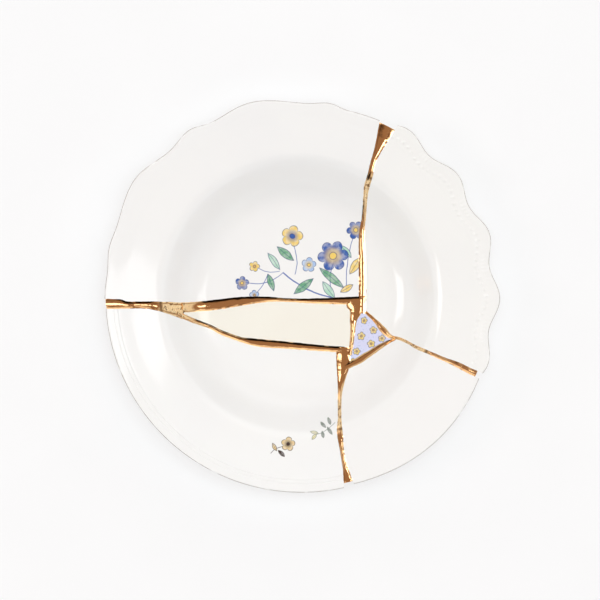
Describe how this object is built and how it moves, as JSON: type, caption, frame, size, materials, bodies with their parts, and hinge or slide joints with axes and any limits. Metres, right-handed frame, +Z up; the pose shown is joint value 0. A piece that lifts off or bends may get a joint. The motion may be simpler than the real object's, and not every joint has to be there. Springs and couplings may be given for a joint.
{
  "type": "kintsugi deep plate",
  "caption": "Deep round plate with a sunk well and wide rim, joined from mismatched porcelain shards by a wide recessed gold seam; stands on a foot ring.",
  "frame": {"origin": "under the middle of the outline, on the surface that the foot ring stands on", "axes": "+Z up out of the well, +Y towards the end of the long upright seam that runs to the rim above the well, +X towards the scalloped shard"},
  "size_m": [0.2572, 0.2552, 0.0393],
  "materials": {
    "white_glaze_lobed": "glossy white glaze with a painted flower spray",
    "white_glaze_scalloped": "glossy white glaze",
    "white_glaze_plain": "glossy white glaze",
    "white_glaze_banded": "glossy white glaze with a small painted sprig and blossom",
    "cream_glaze": "glossy cream glaze",
    "blue_blossom_glaze": "glossy glaze with yellow blossoms on light blue",
    "polished_gold": "polished gold"
  },
  "bodies": {
    "root": {"upper_left_shard": "white_glaze_lobed", "upper_right_shard": "white_glaze_scalloped", "lower_right_shard": "white_glaze_plain", "lower_left_shard": "white_glaze_banded", "cream_wedge_shard": "cream_glaze", "blue_triangle_shard": "blue_blossom_glaze", "gold_seam": "polished_gold"}
  },
  "joints": []
}
